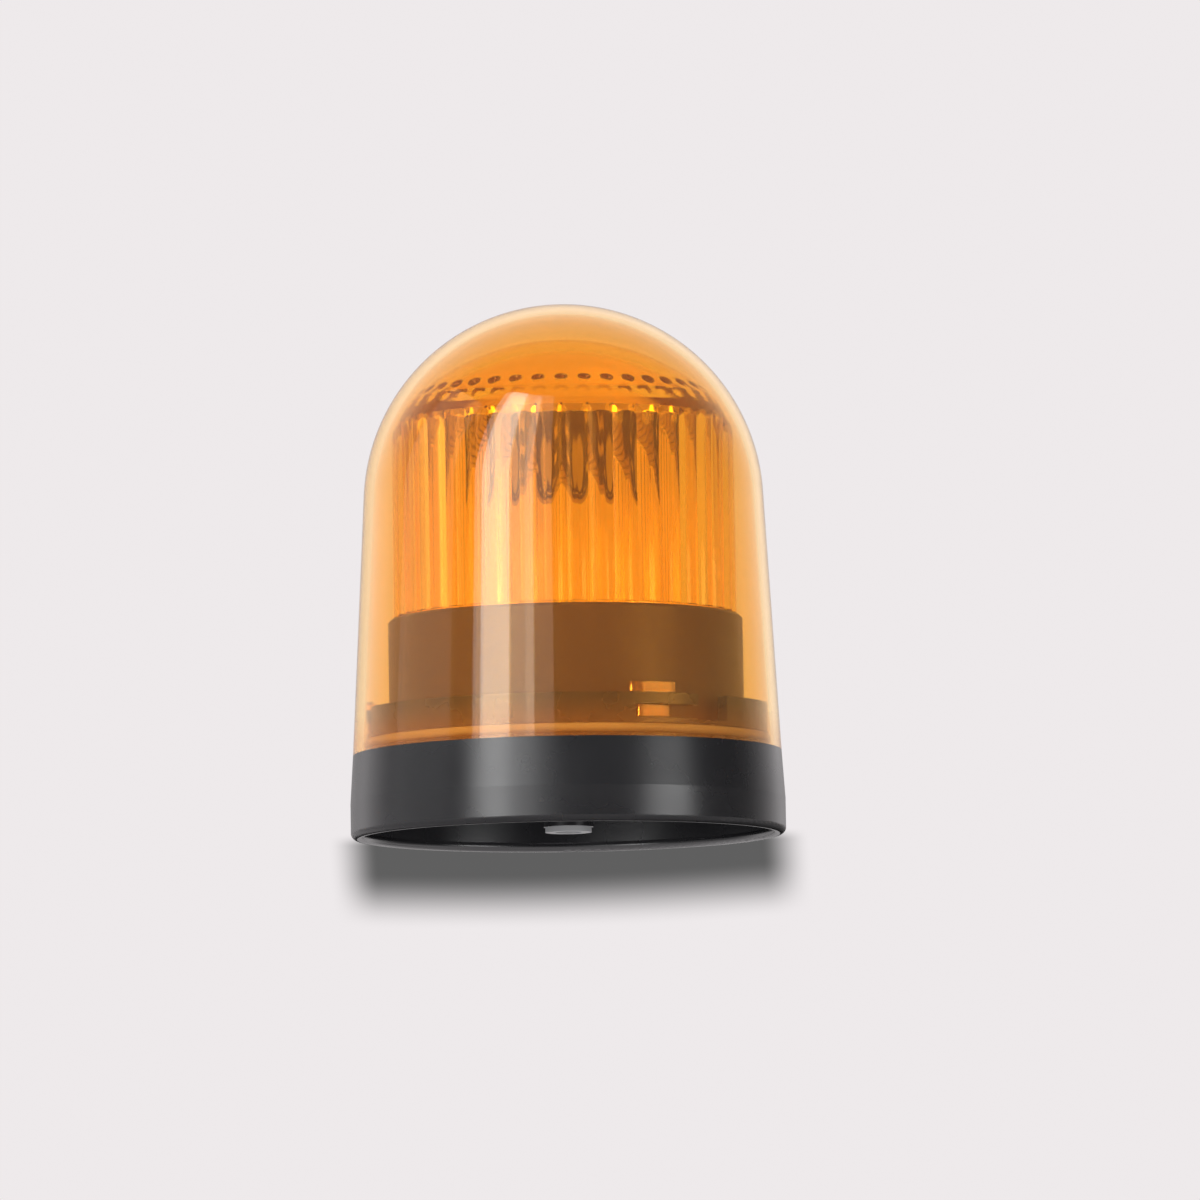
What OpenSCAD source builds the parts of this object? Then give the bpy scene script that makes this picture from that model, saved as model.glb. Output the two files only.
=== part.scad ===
// Dome signal beacon: a black base with a twist-on amber dome over a fluted inner lens,
// an inverted cone reflector, and an LED lamp unit with its driver in a raised drum.
// Millimetres. +Z is up, the base's rim stands on Z = 0, and the beacon's axis is X = Y = 0.

/* [Base housing] */
// Outer radius of the base at its widest
base_r = 49; // [46:0.5:54]
// Height of the base, up to the face that the dome stands on
base_h = 18.8; // [17:0.2:24]
// How far the base's side draws in towards its top
base_draft = 0.7; // [0.2:0.1:1.2]
// Height at which that draft begins
draft_z = 8; // [5:0.5:12]
// Radius of the rounded bottom edge
base_edge = 1.4; // [0.6:0.1:1.6]
// Radius of the rounded bottom edge inside the skirt
inner_edge = 0.8; // [0.3:0.1:1]
// Wall of the base's skirt
skirt_wall = 2.6; // [2.4:0.1:3.2]
// Thickness of the deck that closes the base's top
deck_t = 2.8; // [2.4:0.1:3.6]
// Number of gussets between the deck and the skirt
gusset_count = 12; // [6:1:18]
// Thickness of one gusset
gusset_t = 1.6; // [1.2:0.1:2.4]

/* [Dome] */
// Overall height of the beacon
total_h = 120.6; // [112:0.2:140]
// Wall of the dome
dome_wall = 2.2; // [1.8:0.1:2.6]
// How much smaller the dome's crown radius is than its foot
dome_taper = 3.1; // [2.7:0.1:4.2]
// Clearance between the dome and the collar inside it
dome_fit = 0.3; // [0.15:0.05:0.4]

/* [Bayonet collar] */
// Height of the collar above the deck
collar_h = 9.8; // [9:0.1:13]
// Wall of the collar
collar_wall = 2.4; // [2.2:0.1:2.6]
// Number of bayonet lugs
lug_count = 3; // [2:1:4]
// Direction of the first lug
lug_dir = -65; // [-90:1:90]
// Height of a lug
lug_h = 2.4; // [1.8:0.1:3]
// Angle that a lug covers
lug_a = 9; // [6:1:14]
// Angle that the dome turns to lock
lock_a = 20; // [14:1:30]
// Clearance round a lug in its slot
lug_fit = 0.3; // [0.15:0.05:0.5]
// How far a lug reaches into the collar
lug_reach = 1.4; // [1:0.1:1.8]
// Thickness of the sealing ring
seal_d = 2; // [1.6:0.1:2.2]

/* [Lamp drum] */
// Height of the drum's top edge above the base's rim
drum_top = 49; // [46:0.5:56]
// Wall of the drum
drum_wall = 2; // [1.6:0.1:2.4]
// How far the drum's lip stands out from the flutes above it
drum_lip = 1.3; // [0.8:0.1:1.6]
// Depth of the groove that the inner lens stands in
groove_depth = 3; // [2.4:0.1:4]
// Clearance on each side of the inner lens in that groove
groove_fit = 0.3; // [0.2:0.05:0.4]
// Depth from the drum's lip down to the face that the LED board lies on
board_drop = 2; // [1.6:0.1:2.6]
// Radius of a drum screw's boss
drum_boss_r = 3.8; // [3.2:0.1:4.4]

/* [Inner lens] */
// Number of flutes round the lens
flute_count = 42; // [36:1:46]
// Radius of one flute's round crest
flute_r = 4.5; // [4:0.1:6]
// Wall of the inner lens, measured at a flute's crest
lens_wall = 2.6; // [2.4:0.1:3]
// How much smaller the flutes' radius is than the dome's inner crown
lens_gap = 4.3; // [3.8:0.1:4.8]
// Radius of the lens's round cap
cap_r = 49.9; // [48:0.1:54]
// Gap between the cap and the dome on the axis
apex_gap = 6; // [5.4:0.1:6.6]
// Gap between the dome and the shoulder that rounds off the flutes
shoulder_gap = 1.2; // [0.8:0.1:1.6]
// Step from the flutes in to the lens's plain foot
foot_step = 1.2; // [0.9:0.1:1.4]
// Radius of one dimple above the flutes
dimple_r = 1.7; // [1.2:0.1:1.9]
// Depth of one dimple
dimple_depth = 0.8; // [0.4:0.1:1]
// Angle above the cap's centre of the dimple ring
dimple_a = 47.7; // [47:0.1:50]

/* [Reflector] */
// Slope of the reflector's cone
cone_slope = 29.4; // [26:0.2:34]
// Radius of the cone's rounded tip
tip_r = 19.4; // [10:0.2:24]
// Wall of the reflector
reflector_t = 1.5; // [1.2:0.1:2]
// Width of the reflector's flat rim
rim_w = 1.7; // [1.4:0.1:2.6]
// Clearance between the rim and the lens
rim_fit = 0.2; // [0.1:0.05:0.4]

/* [LED board] */
// Radius of the LED board
led_board_r = 31; // [29:0.5:33]
// Thickness of the LED board
led_board_t = 1.6; // [1:0.1:2]
// Number of LEDs
led_count = 12; // [6:1:16]
// Radius of the ring that the LEDs stand on
led_ring_r = 19; // [17:0.5:21]
// Side of one LED's square body
led_side = 3.5; // [2.8:0.1:4.2]

/* [Driver board] */
// Thickness of the driver board
driver_t = 1.6; // [1:0.1:2]
// Height of the posts that carry the driver board
post_h = 6.2; // [5:0.1:8]
// Radius of the circle that the posts stand on
post_ring_r = 30; // [28:0.5:31]
// Radius of one post
post_r = 3; // [2.6:0.1:3.4]
// Clearance between the driver board and the drum
driver_fit = 1.4; // [1:0.1:2]
// Height of the terminal block
terminal_h = 10; // [8:0.5:12]
// Number of ways of the terminal block
way_count = 3; // [2:1:4]
// Spacing of the terminal block's ways
terminal_pitch = 5; // [4.5:0.1:5.5]
// Height of a filter capacitor
capacitor_h = 14; // [10:0.5:15]
// Radius of a filter capacitor
capacitor_r = 4.6; // [4:0.1:4.8]

/* [Fixings and cable entry] */
// Number of fixing bosses, drum screws and board screws, each on a circle of its own
fixing_count = 3; // [3:1:4]
// Radius of the circle of the fixing inserts
fixing_ring_r = 36; // [34:0.5:37]
// Radius of a fixing boss
fixing_boss_r = 5.2; // [4.8:0.1:6]
// Bore radius of a fixing insert
insert_bore_r = 2.1; // [1.6:0.05:2.6]
// Wall of a fixing insert
insert_wall = 1.1; // [0.8:0.1:1.4]
// Length of a fixing insert
insert_l = 7; // [5:0.5:8]
// How far the fixing bosses stop above the base's rim
boss_recess = 7; // [5:0.5:8]
// Radius of a drum screw's shank
drum_screw_r = 1.5; // [1.2:0.1:1.8]
// Radius of a board screw's shank
board_screw_r = 1.2; // [1:0.1:1.4]
// Bore radius of the cable grommet
cable_r = 3; // [2.5:0.1:4]
// Wall of the grommet's sleeve
grommet_wall = 1.2; // [1:0.1:1.8]
// Wall of the spout round the grommet
spout_wall = 1.4; // [1.2:0.1:2.6]

/* [Hidden] */
$fn = 96;

// Small overlap of a cutter past the face it cuts
eps = 0.5;

// Dome and inner lens, from the outside in
base_top_r = base_r - base_draft;
crown_r = base_top_r - dome_taper;
crown_z = total_h - crown_r;
dome_foot_in = base_top_r - dome_wall;
dome_crown_in = crown_r - dome_wall;
flute_crest_r = dome_crown_in - lens_gap;
cap_z = total_h - dome_wall - apex_gap - cap_r;
cap_in = cap_r - lens_wall;
lens_in = flute_crest_r - lens_wall;
corner_z = cap_z + sqrt(cap_in * cap_in - lens_in * lens_in);
foot_r = flute_crest_r - foot_step;

// Angle at which a cone from a foot touches a crown of radius r
function touch_a(foot, foot_z, r, z) =
    let (d = sqrt(foot * foot + (z - foot_z) * (z - foot_z)))
    acos(r / d) - atan2(z - foot_z, foot);
touch_in = touch_a(dome_foot_in, base_h, dome_crown_in, crown_z);
touch_in_r = dome_crown_in * cos(touch_in);
touch_in_z = crown_z + dome_crown_in * sin(touch_in);
// Inner radius of the dome's tapered part at height z
function dome_in_at(z) =
    dome_foot_in - (dome_foot_in - touch_in_r) * (z - base_h) / (touch_in_z - base_h);

// Collar, seal and drum
collar_top = base_h + collar_h;
collar_r = dome_in_at(collar_top) - dome_fit;
collar_in = collar_r - collar_wall;
seal_z = base_h + 1 + seal_d / 2;
seal_squeeze = 0.05;
seal_out_r = dome_in_at(seal_z + seal_d / 2) - seal_squeeze;
seal_in_r = seal_out_r - seal_d;
lug_z = seal_z + seal_d / 2 + 1.6;
drum_r = flute_crest_r + drum_lip;
drum_in = drum_r - drum_wall;
deck_z = base_h - deck_t;
groove_z = drum_top - groove_depth;
groove_out = foot_r + groove_fit;
groove_in = lens_in - groove_fit;
plate_z = drum_top - board_drop;
plate_t = 2;

// Boards
driver_z = base_h + post_h;
driver_r = drum_in - driver_fit;
driver_top = driver_z + driver_t;
led_top = plate_z + led_board_t;
led_body_h = 0.8;

// Screws and their circles
drum_screw_ring_r = drum_in - drum_boss_r + 0.5;
drum_screw_l = 14;
drum_head_r = 2 * drum_screw_r + 0.2;
drum_head_h = 2.2;
board_head_r = 2 * board_screw_r;
board_head_h = 1.6;
board_screw_l = driver_t + post_h - 1.4;
led_screw_l = led_board_t + plate_t + 2.4;
led_screw_ring_r = led_board_r - board_head_r - 1.2;
screw_fit = 0.05;
fixing_a = 30;
drum_screw_a = fixing_a + 180 / fixing_count;
spout_in = cable_r + grommet_wall;
spout_r = spout_in + spout_wall;
spout_z = 2.2;
grommet_flange_t = 1.2;
board_hole_r = spout_r + 1.5;

// Reflector
rim_r = lens_in - rim_fit;
rim_z = corner_z - reflector_t;
cone_r = rim_r - rim_w;
cone_z = rim_z - cone_r * tan(cone_slope);
tip_ball_z = cone_z + tip_r / cos(cone_slope);

// Places on the driver board
terminal_y = 0.49 * driver_r;
terminal_d = 8;
terminal_w = way_count * terminal_pitch;
header_x = 9;
header_y = -led_ring_r;
header_h = 6;
lead_pitch = 2.5;
lead_r = 0.7;

// Places copies round the axis
module ring(count, start = 0) {
    for (i = [0 : count - 1]) rotate([0, 0, start + i * 360 / count]) children();
}

// A cylinder between two heights
module disc(r, z0, z1) {
    translate([0, 0, z0]) cylinder(r = r, h = z1 - z0);
}

// A tube between two heights
module tube(r_out, r_in, z0, z1) {
    difference() {
        disc(r_out, z0, z1);
        disc(r_in, z0 - eps, z1 + eps);
    }
}

// A block standing on z0, centred on X and Y
module block(w, d, z0, z1) {
    translate([-w / 2, -d / 2, z0]) cube([w, d, z1 - z0]);
}

// A sector of a ring with a rectangular section
module sector(r_in, r_out, z0, z1, a0, a1) {
    rotate([0, 0, a0]) rotate_extrude(angle = a1 - a0)
        translate([r_in, z0]) square([r_out - r_in, z1 - z0]);
}

// A cross-head screw on the axis, its head's flat under face at z and its shank going up
module screw_up(shank, length, head_r, head_h, z) {
    disc(shank, z - eps / 5, z + length);
    difference() {
        disc(head_r, z - head_h, z);
        for (a = [0, 90]) rotate([0, 0, a])
            block(head_r * 1.1, head_r * 0.28, z - head_h - eps, z - head_h * 0.45);
    }
}

// The same screw with its shank going down
module screw_down(shank, length, head_r, head_h, z) {
    translate([0, 0, z]) rotate([180, 0, 0]) screw_up(shank, length, head_r, head_h, 0);
}

// A solid of revolution: a cone from a foot, running smoothly into a round crown
module domed(foot, foot_z, r, z) {
    a = touch_a(foot, foot_z, r, z);
    join_z = z + r * sin(a);
    translate([0, 0, foot_z]) cylinder(r1 = foot, r2 = r * cos(a), h = join_z - foot_z);
    intersection() {
        translate([0, 0, z]) sphere(r = r);
        disc(r + eps, join_z, z + r + eps);
    }
}

// Section of the skirt: rounded bottom edges, straight side, then the draft up to the dome
module skirt_section() {
    in_r = base_r - skirt_wall;
    low = max(base_edge, inner_edge);
    translate([base_r - base_edge, base_edge]) circle(r = base_edge);
    translate([in_r + inner_edge, inner_edge]) circle(r = inner_edge);
    translate([in_r + inner_edge, 0]) square([skirt_wall - base_edge - inner_edge, low]);
    translate([in_r, inner_edge]) square([inner_edge, low - inner_edge + 0.1]);
    translate([base_r - base_edge, base_edge]) square([base_edge, low - base_edge + 0.1]);
    polygon([[in_r, low], [base_r, low], [base_r, draft_z],
             [base_top_r, base_h], [in_r, base_h]]);
}

module bayonet_slot() {
    low = lug_z - lug_fit;
    gap_a = 1;
    entry_drop = 0.2;
    sector(collar_in - eps, collar_r + eps, low, lug_z + lug_h + lug_fit,
           -gap_a, lock_a + lug_a / 2);
    sector(collar_in - 2 * eps, collar_r + 2 * eps, low - entry_drop, collar_top + eps,
           lock_a - gap_a, lug_a + lock_a + gap_a);
}

module gusset() {
    reach = 5;
    depth = 9;
    in_r = base_r - skirt_wall;
    rotate([90, 0, 0]) translate([0, 0, -gusset_t / 2]) linear_extrude(gusset_t)
        polygon([[in_r - reach, deck_z + 1], [in_r - reach, deck_z], [in_r, deck_z - depth],
                 [in_r + 1, deck_z - depth], [in_r + 1, deck_z + 1]]);
}

module base_housing() {
    color([0.15, 0.15, 0.16]) difference() {
        union() {
            rotate_extrude() skirt_section();
            disc(base_r - skirt_wall + eps, deck_z, base_h);
            tube(collar_r, collar_in, base_h - 1, collar_top);
            tube(drum_in - 0.3, drum_in - 1.9, base_h - 1, base_h + 1.2);
            ring(gusset_count, 360 / gusset_count / 2) gusset();
            ring(fixing_count, fixing_a) {
                translate([fixing_ring_r, 0, 0]) disc(fixing_boss_r, boss_recess, deck_z + 1);
                translate([post_ring_r, 0, 0]) disc(post_r, base_h - 1, driver_z);
            }
            disc(spout_r, spout_z, deck_z + 1);
        }
        disc(spout_in, -eps, base_h + eps);
        tube(collar_r + eps, seal_in_r - 0.02, seal_z - seal_d / 2 - 0.1, seal_z + seal_d / 2 + 0.1);
        ring(lug_count, lug_dir - lug_a / 2) bayonet_slot();
        ring(fixing_count, fixing_a) {
            translate([fixing_ring_r, 0, 0])
                disc(insert_bore_r + insert_wall, -eps, boss_recess + insert_l + 1);
            translate([post_ring_r, 0, 0])
                disc(board_screw_r + screw_fit, driver_top - board_screw_l - 1, driver_z + eps);
        }
        ring(fixing_count, drum_screw_a) translate([drum_screw_ring_r, 0, 0]) {
            disc(drum_screw_r + 0.3, deck_z - eps, base_h + eps);
            disc(drum_boss_r + 0.4, base_h, base_h + 1.2 + eps);
        }
    }
}

module fixing_inserts() {
    color([0.78, 0.62, 0.3]) ring(fixing_count, fixing_a) translate([fixing_ring_r, 0, 0])
        tube(insert_bore_r + insert_wall, insert_bore_r, boss_recess, boss_recess + insert_l);
}

module cable_grommet() {
    color([0.5, 0.5, 0.5]) difference() {
        union() {
            disc(spout_r - 0.4, spout_z - grommet_flange_t, spout_z);
            disc(spout_in, spout_z - eps / 5, base_h + eps / 5);
            translate([0, 0, base_h])
                cylinder(r1 = spout_in + 1, r2 = spout_in - 0.4, h = grommet_flange_t);
        }
        disc(cable_r, -eps, base_h + grommet_flange_t + eps);
    }
}

module drum_housing() {
    edge = 0.6;
    boss_gap = 0.2;
    color([0.3, 0.29, 0.29]) difference() {
        union() {
            rotate_extrude() polygon([
                [drum_in, base_h], [drum_r, base_h], [drum_r, drum_top - edge],
                [drum_r - edge, drum_top], [groove_out, drum_top], [groove_out, groove_z],
                [groove_in, groove_z], [groove_in, plate_z], [0, plate_z],
                [0, plate_z - plate_t], [groove_in - plate_t, plate_z - plate_t],
                [groove_in - plate_t, groove_z - plate_t], [drum_in, groove_z - plate_t]]);
            ring(fixing_count, drum_screw_a) translate([drum_screw_ring_r, 0, 0])
                disc(drum_boss_r, base_h + boss_gap, groove_z - plate_t / 2);
            ring(fixing_count, fixing_a) translate([led_screw_ring_r, 0, 0])
                disc(board_screw_r + 1.6, plate_z - plate_t - 3.4, plate_z - plate_t / 2);
        }
        ring(fixing_count, drum_screw_a) translate([drum_screw_ring_r, 0, 0])
            disc(drum_screw_r + screw_fit, base_h - eps, deck_z + drum_screw_l + 1);
        ring(fixing_count, fixing_a) translate([led_screw_ring_r, 0, 0])
            disc(board_screw_r + screw_fit, led_top - led_screw_l - 0.6, plate_z + eps);
        ring(fixing_count, fixing_a) hook_slot();
        translate([header_x, header_y, 0])
            block(lead_pitch + 4 * lead_r, 4 * lead_r, plate_z - plate_t - eps, plate_z + eps);
    }
}

module drum_screws() {
    color([0.7, 0.7, 0.72]) ring(fixing_count, drum_screw_a)
        translate([drum_screw_ring_r, 0, 0])
            screw_up(drum_screw_r, drum_screw_l, drum_head_r, drum_head_h, deck_z);
}

module driver_board() {
    color([0.1, 0.35, 0.2]) difference() {
        disc(driver_r, driver_z, driver_top);
        disc(board_hole_r, driver_z - eps, driver_top + eps);
        ring(fixing_count, drum_screw_a) translate([drum_screw_ring_r, 0, 0])
            disc(drum_boss_r + 0.6, driver_z - eps, driver_top + eps);
        ring(fixing_count, fixing_a) translate([post_ring_r, 0, 0])
            disc(board_screw_r + 0.2, driver_z - eps, driver_top + eps);
    }
}

module board_screws() {
    color([0.72, 0.72, 0.74]) ring(fixing_count, fixing_a) translate([post_ring_r, 0, 0])
        screw_down(board_screw_r, board_screw_l, board_head_r, board_head_h, driver_top);
}

// Places a part on the driver board at angle a and a share of its radius, facing along X
module on_board(a, share) {
    rotate([0, 0, a]) translate([driver_r * share, 0, 0]) rotate([0, 0, -a]) children();
}

// Places copies at the ways of the terminal block
module ways() {
    for (i = [0 : way_count - 1])
        translate([(i - (way_count - 1) / 2) * terminal_pitch, terminal_y, 0]) children();
}

terminal_top = driver_top + terminal_h;
entry_r = 1.7;
entry_z = driver_top + entry_r + 1.2;
terminal_screw_r = 1.6;

module terminal_block() {
    color([0.15, 0.45, 0.25]) difference() {
        union() {
            translate([0, terminal_y, 0]) block(terminal_w, terminal_d, driver_top, terminal_top - 2);
            translate([0, terminal_y, 0])
                block(terminal_w, terminal_d - 2.4, terminal_top - 2.5, terminal_top);
        }
        ways() {
            disc(terminal_screw_r + 0.2, terminal_top - 3.4, terminal_top + eps);
            translate([0, -terminal_d / 2 - eps, entry_z]) rotate([-90, 0, 0])
                cylinder(r = entry_r, h = terminal_d / 2 + eps);
        }
    }
}

module terminal_screws() {
    color([0.75, 0.75, 0.7]) ways() difference() {
        disc(terminal_screw_r, terminal_top - 3.4, terminal_top - 1);
        block(3 * terminal_screw_r, 0.6, terminal_top - 1.8, terminal_top);
    }
}

module filter_capacitors() {
    color([0.12, 0.14, 0.2]) for (a = [147, 185])
        on_board(a, 0.54) difference() {
            disc(capacitor_r, driver_top, driver_top + capacitor_h);
            tube(capacitor_r + eps, capacitor_r - 0.4, driver_top + 1.6, driver_top + 2.6);
            for (a = [0, 90]) rotate([0, 0, a])
                block(capacitor_r * 1.4, 0.4, driver_top + capacitor_h - 0.3,
                      driver_top + capacitor_h + eps);
        }
}

choke_r = 6.5;
choke_tube = 2.6;
wire_r = 0.45;
choke_a = -3;
choke_share = 0.57;
choke_z = driver_top + choke_tube + 2 * wire_r + 0.05;

module choke_core() {
    color([0.25, 0.25, 0.27]) on_board(choke_a, choke_share) translate([0, 0, choke_z])
        rotate_extrude() translate([choke_r, 0]) circle(r = choke_tube);
}

module choke_winding() {
    turns = 14;
    color([0.75, 0.4, 0.2]) on_board(choke_a, choke_share) translate([0, 0, choke_z])
        ring(turns) translate([choke_r, 0, 0]) rotate([90, 0, 0]) rotate_extrude()
            translate([choke_tube + wire_r + 0.05, 0]) circle(r = wire_r, $fn = 24);
}

module rectifier() {
    color([0.1, 0.1, 0.1]) on_board(221, 0.62) rotate([0, 0, 40]) difference() {
        block(9, 6.4, driver_top, driver_top + 3.2);
        translate([-4.5, 0, 0]) disc(1, driver_top + 2.6, driver_top + 4);
    }
}

// A small chip with four legs on each long side
module chip(w, d, h) {
    leg = 0.4;
    block(w, d, driver_top + 0.2, driver_top + h);
    for (i = [0 : 3], s = [-1, 1])
        translate([(i - 1.5) * 1.27, s * (d / 2 + 0.4), 0])
            block(leg, 1.2, driver_top, driver_top + 0.5);
}

module driver_chips() {
    color([0.1, 0.1, 0.11]) {
        for (a = [259, 324]) on_board(a, 0.7) chip(5, 4, 1.7);
    }
}

module surge_disc() {
    r = 4.5;
    color([0.15, 0.3, 0.6]) on_board(42, 0.62) translate([0, 0, driver_top + r])
        rotate([0, 90, 35]) cylinder(r = r, h = 3, center = true);
}

module fuse_link() {
    color([0.85, 0.84, 0.78]) on_board(62, 0.745) rotate([0, 0, -20])
        block(3, 8, driver_top, driver_top + 3.4);
}

module lead_header() {
    color([0.9, 0.9, 0.86]) translate([header_x, header_y, 0]) difference() {
        block(2 * lead_pitch + 1, 4.5, driver_top, driver_top + header_h);
        for (s = [-1, 1]) translate([s * lead_pitch / 2, 0, 0])
            disc(lead_r + 0.1, driver_top + 2, driver_top + header_h + eps);
    }
}

module led_leads() {
    color([0.7, 0.1, 0.1]) for (s = [-1, 1])
        translate([header_x + s * lead_pitch / 2, header_y, 0])
            disc(lead_r, driver_top + 2, led_top + 0.5);
}

module led_board() {
    color([0.12, 0.12, 0.13]) difference() {
        disc(led_board_r, plate_z, led_top);
        ring(fixing_count, fixing_a) translate([led_screw_ring_r, 0, 0])
            disc(board_screw_r + 0.2, plate_z - eps, led_top + eps);
        for (s = [-1, 1]) translate([header_x + s * lead_pitch / 2, header_y, 0])
            disc(lead_r + 0.1, plate_z - eps, led_top + eps);
    }
}

module led_bodies() {
    lens_r = led_side * 0.4;
    color([0.95, 0.93, 0.75]) ring(led_count) translate([led_ring_r, 0, 0]) {
        block(led_side, led_side, led_top, led_top + led_body_h);
        intersection() {
            translate([0, 0, led_top + led_body_h - 0.2]) sphere(r = lens_r, $fn = 32);
            disc(lens_r + eps, led_top + led_body_h - 0.1, led_top + led_body_h + lens_r);
        }
    }
}

module led_board_screws() {
    color([0.72, 0.72, 0.74]) ring(fixing_count, fixing_a) translate([led_screw_ring_r, 0, 0])
        screw_down(board_screw_r, led_screw_l, board_head_r, board_head_h, led_top);
}

// Section cut away between two flutes: two round crests meet at its root
flute_pitch = 2 * PI * flute_crest_r / flute_count;
groove_a = -90;
module flute_cut_section() {
    cut_w = flute_pitch - 0.3;
    difference() {
        translate([-2, -cut_w / 2]) square([2 + eps, cut_w]);
        for (s = [-1, 1]) translate([-flute_r, s * flute_pitch / 2]) circle(r = flute_r);
    }
}

module fluted_outline() {
    difference() {
        circle(r = flute_crest_r);
        ring(flute_count, groove_a) translate([flute_crest_r, 0]) flute_cut_section();
    }
}

hook_w = 8;
hook_t = 1.3;
hook_drop = plate_t + 1.6;
hook_r = lens_in + 0.1;

// A snap hook on the lens's foot, which passes through the floor of the drum's groove
module hook() {
    translate([hook_r, -hook_w / 2, groove_z - hook_drop]) cube([hook_t, hook_w, hook_drop + 1]);
    translate([hook_r + 0.2, 0, groove_z - plate_t - 0.1]) rotate([90, 0, 0])
        translate([0, 0, -hook_w / 2]) linear_extrude(hook_w) polygon([[0, 0], [-0.9, 0], [0, -1.4]]);
}

module hook_slot() {
    fit = 0.3;
    translate([hook_r - fit, -hook_w / 2 - fit, groove_z - plate_t - eps])
        cube([hook_t + 2 * fit, hook_w + 2 * fit, plate_t + 2 * eps]);
}

// A small nub inside the lens, which the reflector's rim snaps past
module snap_nub() {
    w = 6;
    h = 1.2;
    r_in = cone_r + 0.6;
    translate([r_in, -w / 2, rim_z - 0.05 - h]) cube([lens_in - r_in + 0.6, w, h]);
}

// The flutes run straight up, and a shoulder and the cap round them off
module inner_lens() {
    flute_z = drum_top + 0.6;
    color([1, 0.6, 0.1, 0.6]) {
        difference() {
            union() {
                disc(foot_r, groove_z, flute_z);
                intersection() {
                    translate([0, 0, flute_z]) linear_extrude(total_h - flute_z) fluted_outline();
                    translate([0, 0, cap_z]) sphere(r = cap_r);
                    union() {
                        translate([0, 0, crown_z]) sphere(r = dome_crown_in - shoulder_gap);
                        disc(flute_crest_r + eps, flute_z - eps, crown_z);
                    }
                }
            }
            intersection() {
                disc(lens_in, groove_z - eps, total_h);
                translate([0, 0, cap_z]) sphere(r = cap_in);
            }
            ring(flute_count, groove_a) dimple();
        }
        ring(fixing_count, fixing_a) hook();
        ring(fixing_count) snap_nub();
    }
}

// One dimple's ball, set out along the X axis before it is turned to its place in the ring
module dimple() {
    reach = cap_r + dimple_r - dimple_depth;
    translate([reach * cos(dimple_a), 0, cap_z + reach * sin(dimple_a)])
        sphere(r = dimple_r, $fn = 32);
}

// The solid under one of the reflector's two faces, shift away from the lower one
module reflector_body(shift) {
    r = tip_r - shift;
    join_r = r * sin(cone_slope);
    join_z = tip_ball_z - r * cos(cone_slope);
    flank_z = cone_z + shift / cos(cone_slope);
    top_r = (corner_z + eps - flank_z) / tan(cone_slope);
    ball_overlap = 0.2;
    intersection() {
        translate([0, 0, tip_ball_z]) sphere(r = r);
        disc(r + eps, tip_ball_z - r - eps, join_z + ball_overlap);
    }
    translate([0, 0, join_z])
        cylinder(r1 = join_r, r2 = top_r, h = corner_z + eps - join_z);
}

module reflector() {
    color([0.85, 0.85, 0.87]) difference() {
        union() {
            intersection() {
                reflector_body(0);
                disc(cone_r + eps / 2, tip_ball_z - tip_r - eps, corner_z);
            }
            disc(rim_r, rim_z, corner_z);
        }
        reflector_body(reflector_t);
    }
}

module lens_seal() {
    color([0.1, 0.1, 0.1]) translate([0, 0, seal_z]) rotate_extrude()
        translate([seal_out_r - seal_d / 2, 0]) circle(r = seal_d / 2);
}

// Under each stop rib of the dome the collar's top edge runs, and one lug lies below it
module outer_dome() {
    rib_a = 13;
    rib_h = 2.2;
    rib_z = collar_top + 0.2;
    color([1, 0.5, 0.05, 0.4]) {
        difference() {
            domed(base_top_r, base_h, crown_r, crown_z);
            domed(dome_foot_in, base_h, dome_crown_in, crown_z);
        }
        ring(lug_count, lug_dir - lug_a / 2)
            sector(collar_r - lug_reach, dome_in_at(lug_z) + 0.6, lug_z, lug_z + lug_h, 0, lug_a);
        ring(lug_count, lug_dir - rib_a / 2)
            sector(collar_r - lug_reach, dome_in_at(rib_z) + 0.6, rib_z, rib_z + rib_h, 0, rib_a);
    }
}

base_housing();
fixing_inserts();
cable_grommet();
drum_housing();
drum_screws();
driver_board();
board_screws();
terminal_block();
terminal_screws();
filter_capacitors();
choke_core();
choke_winding();
rectifier();
driver_chips();
surge_disc();
fuse_link();
lead_header();
led_leads();
led_board();
led_bodies();
led_board_screws();
inner_lens();
reflector();
lens_seal();
outer_dome();
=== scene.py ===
from math import acos, atan2, cos, pi, radians, sin, sqrt

import bpy
import numpy as np
from bpy.props import FloatProperty, FloatVectorProperty, IntProperty, PointerProperty
from mathutils import Matrix, Vector


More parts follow.
